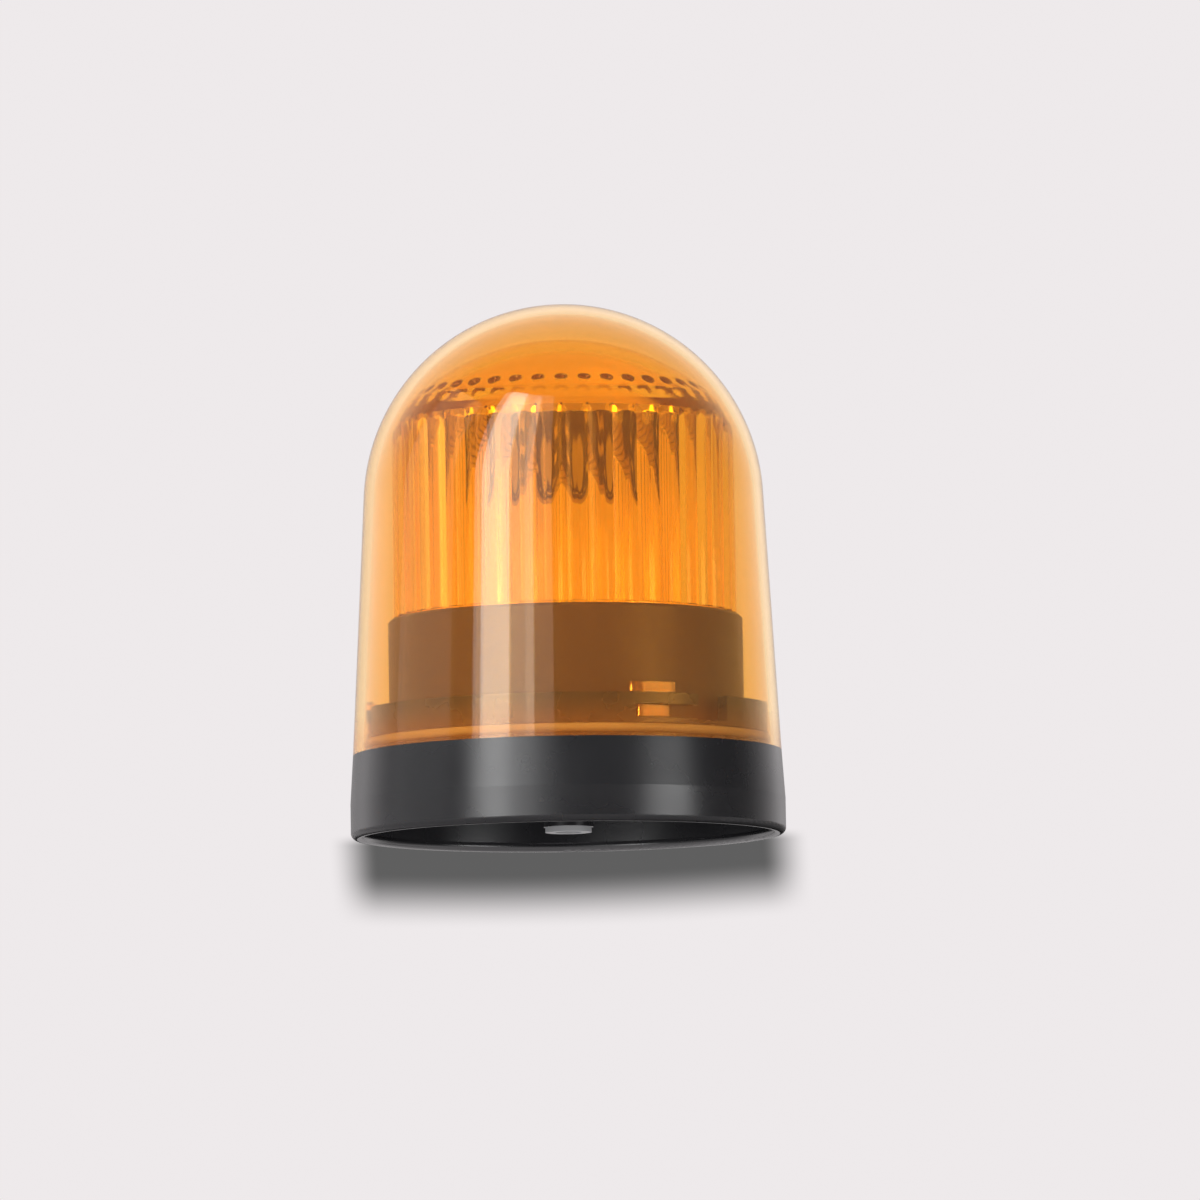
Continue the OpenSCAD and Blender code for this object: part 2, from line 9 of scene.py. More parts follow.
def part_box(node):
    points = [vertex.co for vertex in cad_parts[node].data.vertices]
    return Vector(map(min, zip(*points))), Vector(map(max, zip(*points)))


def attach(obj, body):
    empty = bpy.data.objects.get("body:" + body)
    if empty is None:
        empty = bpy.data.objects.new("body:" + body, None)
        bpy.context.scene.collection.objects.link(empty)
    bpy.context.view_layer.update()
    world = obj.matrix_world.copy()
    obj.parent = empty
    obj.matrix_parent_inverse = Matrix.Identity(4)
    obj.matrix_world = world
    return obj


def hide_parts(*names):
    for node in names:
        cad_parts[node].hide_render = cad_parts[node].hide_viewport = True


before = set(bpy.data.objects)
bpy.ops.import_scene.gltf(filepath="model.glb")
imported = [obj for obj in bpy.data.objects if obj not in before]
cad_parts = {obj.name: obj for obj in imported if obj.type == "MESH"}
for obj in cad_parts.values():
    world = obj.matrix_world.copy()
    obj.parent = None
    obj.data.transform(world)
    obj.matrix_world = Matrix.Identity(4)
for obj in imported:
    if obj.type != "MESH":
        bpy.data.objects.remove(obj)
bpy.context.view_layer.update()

bl_info = {
    "name": "Dome Signal Beacon",
    "version": (1, 0, 0),
    "blender": (4, 5, 0),
    "location": "View3D > Sidebar > Beacon",
    "description": "Smooth clear parts, finishes and a studio stage for a dome signal beacon",
    "category": "Object",
}

MM = 0.001
BASE_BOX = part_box("base_housing")
DOME_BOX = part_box("outer_dome")
LENS_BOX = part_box("inner_lens")
DRUM_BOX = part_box("drum_housing")

# The round skins' rings start at this angle, beside the single point at their top
NEAR_TOP = radians(88)

# Bayonet: the middles of its three places in degrees, the inner and outer radius, and for a lug
# and for a stop rib half of its angle in degrees with its low and high edge
BAYONET_PLACES = (-65, 55, 175)
BAYONET_RADII = (43.87 * MM, 45.4 * MM)
LUG = (4.5, 23.4 * MM, 25.8 * MM)
STOP_RIB = (6.5, 28.8 * MM, 31.0 * MM)

# Heights between which the haze at the dome's foot thins out
FOOT_HAZE_ZONE = (0.019, 0.029)

# Radii between which the LED board's bare middle ends
BARE_MIDDLE = (0.0095, 0.0100)

# Lamps: name, azimuth in degrees, distance, low and high edge, width, and what part of which of
# the stage's settings is its radiance
LAMPS = (
    ("left_light", -34, 1.2, -0.3, 2.0, 0.74, 1.0, "key"),
    ("left_core", -38.5, 1.19, -0.3, 2.0, 0.34, 1.0, "core"),
    ("left_edge", -14, 1.2, -0.3, 2.0, 0.32, 0.35, "key"),
    ("left_side", -84, 1.3, -0.3, 1.6, 0.9, 0.22, "key"),
    ("right_light", 54, 1.3, -0.3, 0.2, 0.55, 1.0, "fill"),
)

# Background in mirror reflections: its middle's direction, its greys from round about to that
# middle, and its level. Below the floor it rises between two heights to a level of its own.
MIRROR_MIDDLE = (-0.12, 1.0, 0.0)
MIRROR_GREYS = ((0.2, 0.06), (0.45, 0.36), (0.6, 0.62), (0.82, 0.9), (0.93, 0.5), (1.0, 0.42))
MIRROR_LEVEL = 1.5
BELOW_HEIGHTS = (-0.15, -0.5)
BELOW_LEVEL = 1.7

# Floor: the gap that it runs in under the base, its rings' radii, and where it fades out
FLOOR_TUCK = 1.35 * MM
FLOOR_RADII = (0.3, 1.2)
FLOOR_FADE = (0.4, 1.1)

# Soft shade under the beacon: where its sides, far end and near end fade, how much its far end
# curves and leans, and its tone
SHADE_SIDES = (0.0432, 0.0545)
SHADE_FAR_END = (0.115, 0.335)
SHADE_NEAR_END = (0.02, -0.02)
SHADE_CURVE = 10.0
SHADE_LEAN = 0.25
SHADE_TONE = (0.135, 0.14, 0.138, 1)


# ---- Sizes and colours that a user changes ----

def length(name, description, default):
    return FloatProperty(name=name, description=description, default=default, precision=5,
                         subtype="DISTANCE", unit="LENGTH")


def angle(name, description, degrees):
    return FloatProperty(name=name, description=description, default=radians(degrees),
                         subtype="ANGLE", unit="ROTATION")


def amount(name, description, default, low=0.0):
    return FloatProperty(name=name, description=description, default=default, min=low)


def colour(name, description, default):
    return FloatVectorProperty(name=name, description=description, default=default, size=3,
                               min=0.0, max=1.0, subtype="COLOR")


class BeaconDomeSizes(bpy.types.PropertyGroup):
    """Sizes of the smooth outer dome"""
    foot_r: length("Foot radius", "Outer radius of the dome's foot", DOME_BOX[1].x)
    foot_z: length("Foot height", "Height of the face that the dome stands on", DOME_BOX[0].z)
    top_z: length("Top height", "Height of the dome's highest point", DOME_BOX[1].z)
    wall: length("Wall", "Wall of the dome", 2.2 * MM)
    taper: length("Taper", "How much smaller the crown's radius is than the foot's", 3.1 * MM)


class BeaconLensSizes(bpy.types.PropertyGroup):
    """Sizes of the smooth inner lens"""
    crest_r: length("Crest radius", "Radius of the flutes' crests", LENS_BOX[1].x)
    wall: length("Wall", "Wall of the lens at a crest", 2.6 * MM)
    cap_r: length("Cap radius", "Radius of the round cap", 49.9 * MM)
    shoulder_gap: length("Shoulder gap", "Gap between the dome and the shoulder over the flutes",
                         1.2 * MM)
    top_z: length("Top height", "Height of the lens's highest point", LENS_BOX[1].z)
    foot_z: length("Foot height", "Height of the floor of the groove that the lens stands in",
                   46 * MM)
    flute_z: length("Flute height", "Height at which the flutes begin", DRUM_BOX[1].z + 0.6 * MM)
    foot_step: length("Foot step", "Step from the flutes in to the plain foot", 1.2 * MM)
    flute_count: IntProperty(name="Flutes", description="Number of flutes", default=42, min=12)
    flute_r: length("Flute radius", "Radius of one flute's round crest", 4.5 * MM)
    dimple_r: length("Dimple radius", "Radius of one dimple's ball", 1.7 * MM)
    dimple_depth: length("Dimple depth", "Depth of one dimple", 0.8 * MM)
    dimple_at: angle("Dimple ring", "Angle above the cap's centre of the ring of dimples", 47.7)


class BeaconStage(bpy.types.PropertyGroup):
    """Camera and light"""
    camera_y: length("Camera distance", "How far the camera stands in front of the axis", 1.8)
    camera_x: length("Camera sideways", "How far the camera stands to the right of the axis",
                     0.0079)
    camera_z: length("Camera height", "Height of the camera over the floor", -0.132)
    aim_z: length("Aim height", "Height of the point on the axis that the camera looks at", 0.0535)
    roll: angle("Roll", "How far the camera is turned about its own axis", 0.9)
    lens: amount("Focal length", "Focal length of the camera in millimetres", 240.4, 10.0)
    backdrop: colour("Backdrop", "Colour of the background", (0.855, 0.82, 0.83))
    ambient: amount("Ambient", "Strength of the light from all round", 0.3)
    key: amount("Left light", "Radiance of the tall light on the left", 2.35)
    core: amount("Left core", "Radiance that the left light's middle adds", 4.3)
    fill: amount("Right light", "Radiance of the low light on the right", 7.0)


class BeaconColours(bpy.types.PropertyGroup):
    """Colours of the finishes, and the haze in the clear parts"""
    dome: colour("Dome", "Tint of the outer dome's wall", (0.97, 0.66, 0.27))
    dome_haze: amount("Dome haze", "Share of the dome that scatters light", 0.024)
    foot_haze: amount("Foot haze", "Share of the dome's foot that scatters light", 0.09)
    lens: colour("Inner lens", "Tint of the inner lens's wall", (1.0, 0.80, 0.15))
    lens_haze: amount("Lens haze", "Share of the inner lens that scatters light", 0.02)
    glow: colour("Haze", "Colour that the clear parts scatter", (1.0, 0.25, 0.02))
    housing: colour("Base", "Colour of the moulded base", (0.014, 0.014, 0.016))
    drum: colour("Drum", "Colour of the moulded drum", (0.06, 0.034, 0.032))


# ---- Meshes ----

def skin(name, points, faces, smooth=True):
    """An object in the scene from points and faces, shaded smooth up to an edge of 35 degrees"""
    mesh = bpy.data.meshes.new(name)
    mesh.from_pydata([tuple(p) for p in points], [], [tuple(int(i) for i in f) for f in faces])
    mesh.validate()
    if smooth:
        mesh.shade_smooth()
        mesh.set_sharp_from_angle(angle=radians(35))
    obj = bpy.data.objects.new(name, mesh)
    bpy.context.collection.objects.link(obj)
    return obj


def turned_skin(name, rings):
    """A closed skin through rings of points, each an array of count x 3, between two end points"""
    first, *middle, last = rings
    count = len(middle[0])
    points = np.vstack([first, *middle, last])
    step = np.arange(count)
    after = (step + 1) % count
    faces = [(0, 1 + i, 1 + j) for i, j in zip(step, after)]
    for k in range(len(middle) - 1):
        a, b = 1 + k * count, 1 + (k + 1) * count
        faces += [(a + i, b + i, b + j, a + j) for i, j in zip(step, after)]
    a, end = 1 + (len(middle) - 1) * count, len(points) - 1
    faces += [(a + i, end, a + j) for i, j in zip(step, after)]
    return skin(name, points, faces)


def turn(radius, height, azimuth):
    """One ring of points; radius and height are numbers or arrays over the azimuths"""
    return np.column_stack([radius * np.cos(azimuth), radius * np.sin(azimuth),
                            np.broadcast_to(height, azimuth.shape)])


def ball_rings(radius, centre_z, angles, azimuth):
    """Rings on a ball, each at an angle above its centre"""
    return [turn(radius * cos(a), centre_z + radius * sin(a), azimuth) for a in angles]


def touch_angle(foot_r, foot_z, crown_r, crown_z):
    """Angle above the crown's centre at which a cone from the foot runs into the crown"""
    reach = sqrt(foot_r ** 2 + (crown_z - foot_z) ** 2)
    return acos(crown_r / reach) - atan2(crown_z - foot_z, foot_r)


def curved_block(r_in, r_out, low, high, start, end, steps=8):
    """Points and faces of a block bent round the axis"""
    points, faces = [], []
    for k in range(steps + 1):
        a = start + (end - start) * k / steps
        points += [(r * cos(a), r * sin(a), z) for r, z in
                   ((r_in, low), (r_out, low), (r_out, high), (r_in, high))]
    for k in range(steps):
        p, q = 4 * k, 4 * k + 4
        faces += [(p + i, q + i, q + (i + 1) % 4, p + (i + 1) % 4) for i in range(4)]
    faces += [(0, 1, 2, 3), (4 * steps + 3, 4 * steps + 2, 4 * steps + 1, 4 * steps)]
    return points, faces


# ---- Node helpers ----

def add_node(tree, kind, values=None, **settings):
    """A new node with its settings, and the values of its inputs"""
    made = tree.nodes.new(kind)
    for name, value in settings.items():
        setattr(made, name, value)
    for socket, value in (values or {}).items():
        made.inputs[socket].default_value = value
    return made


def calculate(tree, operation, *inputs):
    """The output of a Math node; its inputs are sockets or numbers"""
    made = add_node(tree, "ShaderNodeMath", operation=operation)
    for socket, value in zip(made.inputs, inputs):
        if isinstance(value, bpy.types.NodeSocket):
            tree.links.new(value, socket)
        else:
            socket.default_value = value
    return made.outputs["Value"]


def mapped(tree, value, span, ends=(0.0, 1.0), interpolation="SMOOTHSTEP"):
    """The output of a Map Range node, which takes the span of a value to two ends"""
    made = add_node(tree, "ShaderNodeMapRange",
                    dict(zip(("From Min", "From Max", "To Min", "To Max"), (*span, *ends))),
                    interpolation_type=interpolation)
    tree.links.new(value, made.inputs["Value"])
    return made.outputs["Result"]


def mixed(tree, share, first, second):
    """The output of a Mix Shader node; its share is a socket or a number"""
    made = add_node(tree, "ShaderNodeMixShader")
    if isinstance(share, bpy.types.NodeSocket):
        tree.links.new(share, made.inputs["Fac"])
    else:
        made.inputs["Fac"].default_value = share
    tree.links.new(first, made.inputs[1])
    tree.links.new(second, made.inputs[2])
    return made.outputs["Shader"]


def blended(tree, share, first, second):
    """The output of a Mix node between two colours"""
    made = tree.nodes.new("ShaderNodeMix")
    made.data_type = "RGBA"
    made.inputs["A"].default_value = first
    made.inputs["B"].default_value = second
    tree.links.new(share, made.inputs["Factor"])
    return made.outputs["Result"]


def new_material(name):
    """An empty material with an output and a Principled shader"""
    material = bpy.data.materials.new(name)
    material.use_nodes = True
    tree = material.node_tree
    tree.nodes.clear()
    output = tree.nodes.new("ShaderNodeOutputMaterial")
    shader = tree.nodes.new("ShaderNodeBsdfPrincipled")
    tree.links.new(shader.outputs["BSDF"], output.inputs["Surface"])
    return material, tree, shader, output


def finish(node, material):
    """Gives a CAD node's object a single material"""
    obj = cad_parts[node]
    obj.data.materials.clear()
    obj.data.materials.append(material)
    for polygon in obj.data.polygons:
        polygon.material_index = 0


# ---- Materials ----

def grain_group():
    """Shader group: fine moulded grain with slow variation, as a height and a mask"""
    tree = bpy.data.node_groups.get("Moulded grain")
    if tree:
        return tree
    tree = bpy.data.node_groups.new("Moulded grain", "ShaderNodeTree")
    for name, default in (("Grain size", 2500), ("Cloud size", 60)):
        socket = tree.interface.new_socket(name, in_out="INPUT", socket_type="NodeSocketFloat")
        socket.default_value = default
    for name in ("Height", "Cloud"):
        tree.interface.new_socket(name, in_out="OUTPUT", socket_type="NodeSocketFloat")
    start = tree.nodes.new("NodeGroupInput")
    end = tree.nodes.new("NodeGroupOutput")
    place = tree.nodes.new("ShaderNodeTexCoord")
    for size, detail, result in (("Grain size", 3, "Height"), ("Cloud size", 4, "Cloud")):
        noise = add_node(tree, "ShaderNodeTexNoise", {"Detail": detail})
        tree.links.new(place.outputs["Object"], noise.inputs["Vector"])
        tree.links.new(start.outputs[size], noise.inputs["Scale"])
        tree.links.new(noise.outputs["Fac"], end.inputs[result])
    return tree


def add_grain(tree, shader, grain_size, bump, depth, rough, cloud_size=60.0):
    """Places the grain group: bump on the normal, slow clouds on the roughness"""
    group = tree.nodes.new("ShaderNodeGroup")
    group.node_tree = grain_group()
    group.inputs["Grain size"].default_value = grain_size
    group.inputs["Cloud size"].default_value = cloud_size
    height = add_node(tree, "ShaderNodeBump", {"Strength": bump, "Distance": depth})
    tree.links.new(group.outputs["Height"], height.inputs["Height"])
    tree.links.new(height.outputs["Normal"], shader.inputs["Normal"])
    spread = mapped(tree, group.outputs["Cloud"], (0.3, 0.7), rough, "LINEAR")
    tree.links.new(spread, shader.inputs["Roughness"])
    return group


def vary_colour(tree, shader, group, base, lift):
    """Moves the base colour a little with the group's slow clouds"""
    ramp = tree.nodes.new("ShaderNodeValToRGB")
    dark, light = ramp.color_ramp.elements
    dark.position, dark.color = 0.3, (*[c * (1 - lift) for c in base], 1)
    light.position, light.color = 0.7, (*[min(c * (1 + lift), 1) for c in base], 1)
    tree.links.new(group.outputs["Cloud"], ramp.inputs["Fac"])
    tree.links.new(ramp.outputs["Color"], shader.inputs["Base Color"])


def moulded(name, base, rough=(0.38, 0.46), specular=0.5):
    """Satin moulded plastic"""
    material, tree, shader, _ = new_material(name)
    shader.inputs["Specular IOR Level"].default_value = specular
    group = add_grain(tree, shader, 2500, 0.25, 0.00004, rough)
    vary_colour(tree, shader, group, base, 0.08)
    return material


def metal(name, base, rough=(0.2, 0.32), grain=4000, bump=0.1):
    """Plain metal with a fine finish"""
    material, tree, shader, _ = new_material(name)
    shader.inputs["Metallic"].default_value = 1.0
    group = add_grain(tree, shader, grain, bump, 0.00002, rough)
    vary_colour(tree, shader, group, base, 0.05)
    return material


def clear_amber(name, tint, haze, foot_haze=None):
    """Clear amber plastic with a little haze, more of it near its foot, which lets lamps through"""
    material, tree, shader, output = new_material(name)
    shader.inputs["Transmission Weight"].default_value = 1.0
    shader.inputs["IOR"].default_value = 1.49
    group = add_grain(tree, shader, 220, 0.02, 0.00002, (0.02, 0.05), cloud_size=35.0)
    vary_colour(tree, shader, group, tint, 0.02)
    glow = bpy.context.scene.beacon_colours.glow
    scatter = add_node(tree, "ShaderNodeBsdfDiffuse", {"Color": (*glow, 1)})
    clear = add_node(tree, "ShaderNodeBsdfTransparent", {"Color": (*[sqrt(c) for c in tint], 1)})
    share = haze
    if foot_haze:
        place = tree.nodes.new("ShaderNodeTexCoord")
        split = tree.nodes.new("ShaderNodeSeparateXYZ")
        tree.links.new(place.outputs["Object"], split.inputs["Vector"])
        share = mapped(tree, split.outputs["Z"], FOOT_HAZE_ZONE, (foot_haze, haze))
    hazy = mixed(tree, share, shader.outputs["BSDF"], scatter.outputs["BSDF"])
    rays = tree.nodes.new("ShaderNodeLightPath")
    whole = mixed(tree, rays.outputs["Is Shadow Ray"], hazy, clear.outputs["BSDF"])
    tree.links.new(whole, output.inputs["Surface"])
    return material


def led_board():
    """Black solder mask round a pale middle of bare metal"""
    material, tree, shader, _ = new_material("board_black")
    add_grain(tree, shader, 2500, 0.2, 0.00003, (0.35, 0.45))
    place = tree.nodes.new("ShaderNodeTexCoord")
    flat = add_node(tree, "ShaderNodeVectorMath", {1: (1, 1, 0)}, operation="MULTIPLY")
    reach = add_node(tree, "ShaderNodeVectorMath", operation="LENGTH")
    tree.links.new(place.outputs["Object"], flat.inputs[0])
    tree.links.new(flat.outputs["Vector"], reach.inputs[0])
    masked = mapped(tree, reach.outputs["Value"], BARE_MIDDLE, interpolation="LINEAR")
    tone = blended(tree, masked, (0.6, 0.6, 0.58, 1), (0.012, 0.012, 0.013, 1))
    tree.links.new(tone, shader.inputs["Base Color"])
    return material


# ---- Operators: one for each piece or group of like pieces ----

class BEACON_OT_dome(bpy.types.Operator):
    """Makes the smooth outer dome with its bayonet lugs"""
    bl_idname = "beacon.dome"
    bl_label = "Outer dome"

    def execute(self, context):
        size = context.scene.beacon_dome
        colours = context.scene.beacon_colours
        crown_r = size.foot_r - size.taper
        rings = (self.side(size, size.foot_r, crown_r)
                 + self.side(size, size.foot_r - size.wall, crown_r - size.wall)[::-1])
        dome = turned_skin("outer_dome_skin", rings)
        material = clear_amber("amber_dome", tuple(colours.dome), colours.dome_haze,
                               colours.foot_haze)
        dome.data.materials.append(material)
        self.make_lugs(material)
        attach(dome, "root")
        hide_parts("outer_dome")
        return {"FINISHED"}

    def side(self, size, foot_r, crown_r):
        """Rings from the highest point over the crown and down to the foot"""
        azimuth = np.linspace(0, 2 * pi, 192, endpoint=False)
        crown_z = size.top_z - (size.foot_r - size.taper)
        touch = touch_angle(foot_r, size.foot_z, crown_r, crown_z)
        touch_r, touch_z = crown_r * cos(touch), crown_z + crown_r * sin(touch)
        apex = np.array([[0, 0, crown_z + crown_r]])
        crown = ball_rings(crown_r, crown_z, np.linspace(NEAR_TOP, touch, 64), azimuth)
        cone = [turn(touch_r + (foot_r - touch_r) * t, touch_z + (size.foot_z - touch_z) * t,
                     azimuth) for t in np.linspace(0, 1, 12)[1:]]
        return [apex, *crown, *cone]

    def make_lugs(self, material):
        """Three lugs that lock under the base's collar, with a stop rib over each"""
        points, faces = [], []
        for middle in BAYONET_PLACES:
            for half, low, high in (LUG, STOP_RIB):
                more, sides = curved_block(*BAYONET_RADII, low, high,
                                           radians(middle - half), radians(middle + half))
                faces += [tuple(i + len(points) for i in f) for f in sides]
                points += more
        lugs = skin("bayonet_lugs", points, faces, smooth=False)
        lugs.data.materials.append(material)
        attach(lugs, "root")


class BEACON_OT_inner_lens(bpy.types.Operator):
    """Makes the smooth fluted inner lens with its ring of dimples"""
    bl_idname = "beacon.inner_lens"
    bl_label = "Inner lens"

    def execute(self, context):
        size = context.scene.beacon_lens
        colours = context.scene.beacon_colours
        per_flute = 16
        azimuth = np.linspace(0, 2 * pi, size.flute_count * per_flute, endpoint=False) - pi / 2
        rings = (self.outside(size, context.scene.beacon_dome, azimuth)
                 + self.inside(size, azimuth))
        lens = turned_skin("inner_lens_skin", rings)
        material = clear_amber("amber_lens", tuple(colours.lens), colours.lens_haze)
        lens.data.materials.append(material)
        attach(lens, "root")
        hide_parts("inner_lens")
        return {"FINISHED"}

    def fluted_radius(self, size, off):
        """Radius of the flutes at angles from the nearest groove

        Round crests meet in the grooves, and are cut off at the crest radius.
        """
        beside = pi * size.crest_r / size.flute_count
        centre_r = np.hypot(size.crest_r - size.flute_r, beside)
        turned = np.arctan2(beside, size.crest_r - size.flute_r) - off
        return np.minimum(size.crest_r, centre_r * np.cos(turned)
                          + np.sqrt(size.flute_r ** 2 - (centre_r * np.sin(turned)) ** 2))

    def cap_ring(self, size, cap_z, above, off, azimuth):
        """Outer ring at an angle above the cap's centre, with its dimples"""
        along = size.cap_r * (above - size.dimple_at)
        across = off * size.cap_r * cos(above)
        ball = size.dimple_r ** 2 - along ** 2 - across ** 2
        sunk = np.sqrt(np.maximum(ball, 0)) - (size.dimple_r - size.dimple_depth)
        radius = size.cap_r - np.maximum(sunk, 0)
        return turn(radius * cos(above), cap_z + radius * sin(above), azimuth)

    def outside(self, size, dome, azimuth):
        """Rings from the highest point over the cap, the shoulder and the flutes to the foot"""
        off = (azimuth + pi / 2) * size.flute_count / (2 * pi)
        off = np.abs(off - np.round(off)) * 2 * pi / size.flute_count
        straight = self.fluted_radius(size, off)
        cap_z = size.top_z - size.cap_r
        crown_z = dome.top_z - (dome.foot_r - dome.taper)
        shoulder_r = dome.foot_r - dome.taper - dome.wall - size.shoulder_gap
        # The cap runs into the shoulder's ball at the height where both have the same radius
        between = crown_z - cap_z
        join_z = cap_z + (between ** 2 + size.cap_r ** 2 - shoulder_r ** 2) / (2 * between)
        join_cap = np.arcsin((join_z - cap_z) / size.cap_r)
        join_shoulder = np.arcsin((join_z - crown_z) / shoulder_r)
        near = radians(1.9)
        angles = np.concatenate([
            np.linspace(NEAR_TOP, size.dimple_at + near, 30, endpoint=False),
            np.linspace(size.dimple_at + near, size.dimple_at - near, 21, endpoint=False),
            np.linspace(size.dimple_at - near, join_cap, 5)])
        rings = [np.array([[0, 0, size.top_z]])]
        rings += [self.cap_ring(size, cap_z, a, off, azimuth) for a in angles]
        # Each point of the outline leaves the shoulder's ball at a height of its own
        leave = np.arccos(straight / shoulder_r)
        for part in np.linspace(0, 1, 12)[1:]:
            above = join_shoulder + (leave - join_shoulder) * part
            rings.append(turn(shoulder_r * np.cos(above), crown_z + shoulder_r * np.sin(above),
                              azimuth))
        leave_z = crown_z + shoulder_r * np.sin(leave)
        rings += [turn(straight, leave_z + (size.flute_z - leave_z) * part, azimuth)
                  for part in np.linspace(0, 1, 14)[1:]]
        foot_r = size.crest_r - size.foot_step
        rings += [turn(foot_r, z, azimuth) for z in (size.flute_z, size.foot_z)]
        return rings

    def inside(self, size, azimuth):
        """Rings from the foot up the plain inside wall and under the cap to its middle"""
        inner_r, cap_in = size.crest_r - size.wall, size.cap_r - size.wall
        cap_z = size.top_z - size.cap_r
        corner = np.arccos(inner_r / cap_in)
        corner_z = cap_z + cap_in * sin(corner)
        rings = [turn(inner_r, z, azimuth) for z in np.linspace(size.foot_z, corner_z, 10)]
        rings += ball_rings(cap_in, cap_z, np.linspace(corner, NEAR_TOP, 40)[1:], azimuth)
        rings.append(np.array([[0, 0, cap_z + cap_in]]))
        return rings


class BEACON_OT_reflector(bpy.types.Operator):
    """Finishes the plated reflector"""
    bl_idname = "beacon.reflector"
    bl_label = "Reflector"

    def execute(self, context):
        finish("reflector", metal("reflector_plating", (0.86, 0.86, 0.88), (0.06, 0.12), 800, 0.03))
        return {"FINISHED"}


class BEACON_OT_base(bpy.types.Operator):
    """Finishes the base, its seal, grommet, inserts and the drum's screws"""
    bl_idname = "beacon.base"
    bl_label = "Base"

    def execute(self, context):
        housing = tuple(context.scene.beacon_colours.housing)
        finish("base_housing", moulded("base_plastic", housing, (0.24, 0.3), 0.6))
        finish("lens_seal", moulded("seal_rubber", (0.33, 0.32, 0.31), (0.55, 0.7)))
        finish("cable_grommet", moulded("grommet_rubber", (0.42, 0.42, 0.43), (0.5, 0.65)))
        finish("fixing_inserts", metal("insert_brass", (0.78, 0.58, 0.28)))
        finish("drum_screws", metal("screw_steel", (0.7, 0.7, 0.72)))
        return {"FINISHED"}


class BEACON_OT_drum(bpy.types.Operator):
    """Finishes the lamp drum"""
    bl_idname = "beacon.drum"
    bl_label = "Lamp drum"

    def execute(self, context):
        drum = tuple(context.scene.beacon_colours.drum)
        finish("drum_housing", moulded("drum_plastic", drum, (0.35, 0.45)))
        return {"FINISHED"}


class BEACON_OT_led_unit(bpy.types.Operator):
    """Finishes the LED board, what stands on it, and the small screws"""
    bl_idname = "beacon.led_unit"
    bl_label = "LED unit"

    def execute(self, context):
        finish("led_board", led_board())
        finish("led_bodies", moulded("led_resin", (0.8, 0.7, 0.3), (0.15, 0.25)))
        steel = metal("board_screw_steel", (0.68, 0.68, 0.7))
        for node in ("led_board_screws", "board_screws", "terminal_screws"):
            finish(node, steel)
        finish("led_leads", moulded("lead_red", (0.5, 0.03, 0.03), (0.4, 0.5)))
        return {"FINISHED"}


class BEACON_OT_driver(bpy.types.Operator):
    """Finishes the driver board and its parts"""
    bl_idname = "beacon.driver"
    bl_label = "Driver board"

    def execute(self, context):
        finish("driver_board", moulded("board_green", (0.02, 0.16, 0.07), (0.25, 0.35)))
        finish("terminal_block", moulded("terminal_green", (0.05, 0.3, 0.12)))
        finish("filter_capacitors", moulded("capacitor_sleeve", (0.03, 0.035, 0.07), (0.25, 0.35)))
        finish("choke_core", moulded("ferrite", (0.07, 0.07, 0.075), (0.6, 0.75)))
        finish("choke_winding", metal("copper_wire", (0.75, 0.33, 0.13)))
        for node in ("rectifier", "driver_chips"):
            finish(node, moulded(node + "_plastic", (0.02, 0.02, 0.02), (0.5, 0.6)))
        finish("surge_disc", moulded("disc_blue", (0.05, 0.13, 0.45), (0.25, 0.35)))
        finish("fuse_link", moulded("fuse_cream", (0.7, 0.66, 0.54), (0.3, 0.4)))
        finish("lead_header", moulded("header_white", (0.78, 0.77, 0.72), (0.35, 0.45)))
        return {"FINISHED"}


